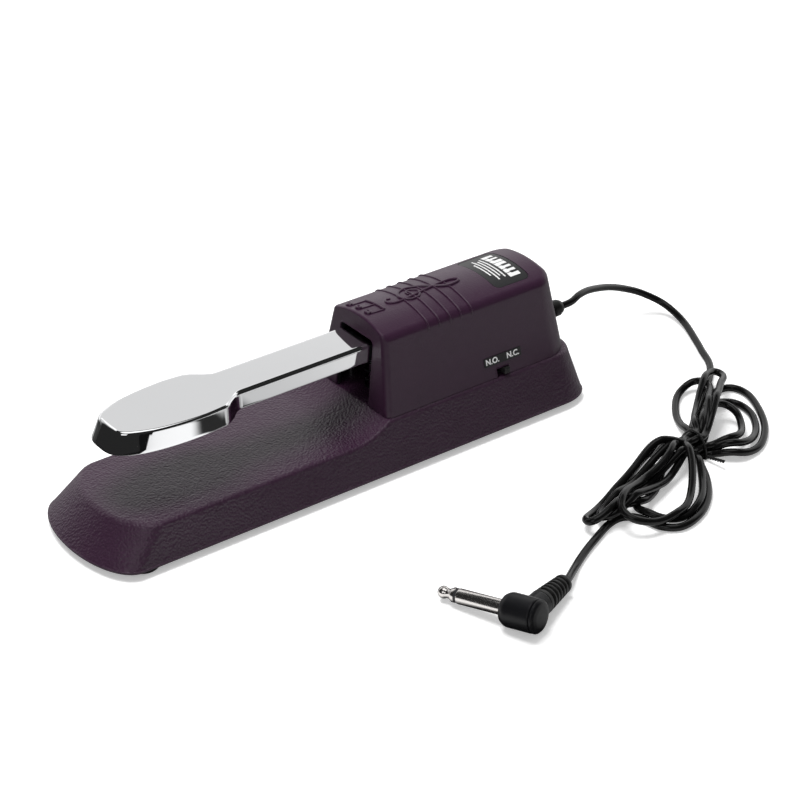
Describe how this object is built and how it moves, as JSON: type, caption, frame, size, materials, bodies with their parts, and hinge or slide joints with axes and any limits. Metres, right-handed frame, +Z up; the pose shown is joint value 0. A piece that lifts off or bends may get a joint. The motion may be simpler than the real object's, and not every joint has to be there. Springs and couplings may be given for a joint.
{
  "type": "sustain pedal",
  "caption": "Piano-style sustain pedal: weighted plastic base, housing with a hinged chrome lever over a switch, and a coiled lead with a right-angle 6.35 mm plug.",
  "frame": {"origin": "on the floor, at the centre of the base's footprint, which is the centre of the middle foot", "axes": "+X the player's right, +Y towards the rear where the lead leaves, +Z up"},
  "size_m": [0.1947, 0.3326, 0.0634],
  "materials": {
    "moulded_plastic": "fine pebble grain with a slight sheen",
    "bottom_plastic": "plain moulded",
    "weight_steel": "plain",
    "rubber": "matte",
    "screw_steel": "zinc plated",
    "label_black": "satin black",
    "chrome": "mirror plating",
    "plain_steel": "zinc plated",
    "pin_steel": "ground",
    "bush_plastic": "natural acetal",
    "spring_steel": "drawn wire",
    "switch_plastic": "plain moulded",
    "contact_brass": "plain",
    "button_plastic": "plain",
    "knob_plastic": "plain",
    "wire_insulation": "satin",
    "cable_vinyl": "satin vinyl",
    "tie_plastic": "satin",
    "plug_plastic": "moulded, satin",
    "nickel": "nickel plating"
  },
  "bodies": {
    "pedal_unit": {"base": "moulded_plastic", "bottom_cover": "bottom_plastic", "ballast_plate": "weight_steel", "rubber_feet": "rubber", "bottom_screws": "screw_steel", "top_cover": "moulded_plastic", "cover_screws": "screw_steel", "top_label": "label_black", "switch_label": "label_black", "pivot_bracket": "plain_steel", "bracket_screws": "screw_steel", "pivot_pin": "pin_steel", "retaining_clips": "spring_steel", "return_spring": "spring_steel", "down_stop": "rubber", "up_stop": "rubber", "microswitch_body": "switch_plastic", "switch_bracket": "plain_steel", "switch_screws": "screw_steel", "polarity_switch_body": "switch_plastic", "polarity_switch_screws": "screw_steel", "solder_terminals": "contact_brass", "signal_wires": "wire_insulation", "strain_relief": "cable_vinyl", "cable": "cable_vinyl", "cable_tie": "tie_plastic", "plug_body": "plug_plastic", "plug_cap": "plug_plastic", "plug_boot": "cable_vinyl", "plug_sleeve": "nickel", "plug_insulator": "switch_plastic", "plug_tip": "nickel"},
    "lever": {"pedal_lever": "chrome", "rocker_arm": "plain_steel", "lever_screws": "screw_steel", "lever_nuts": "screw_steel", "pivot_bushes": "bush_plastic"},
    "switch_button": {"microswitch_button": "button_plastic"},
    "polarity_slider": {"polarity_knob": "knob_plastic"}
  },
  "joints": [
    {"name": "pedal_press", "type": "hinge", "parent": "pedal_unit", "child": "lever", "pos_m": [0, 0.07, 0.046], "axis": [1, 0, 0], "range_deg": [0, 6], "deforming": ["return_spring"]},
    {"name": "button_press", "type": "slide", "parent": "pedal_unit", "child": "switch_button", "axis": [0, 0, -1], "range_m": [0, 0.0022]},
    {"name": "polarity_slide", "type": "slide", "parent": "pedal_unit", "child": "polarity_slider", "axis": [0, 1, 0], "range_m": [-0.003, 0]}
  ],
  "couplings": [
    {"joint": "button_press", "follows": "pedal_press", "m_per_rad": 0.0209}
  ]
}
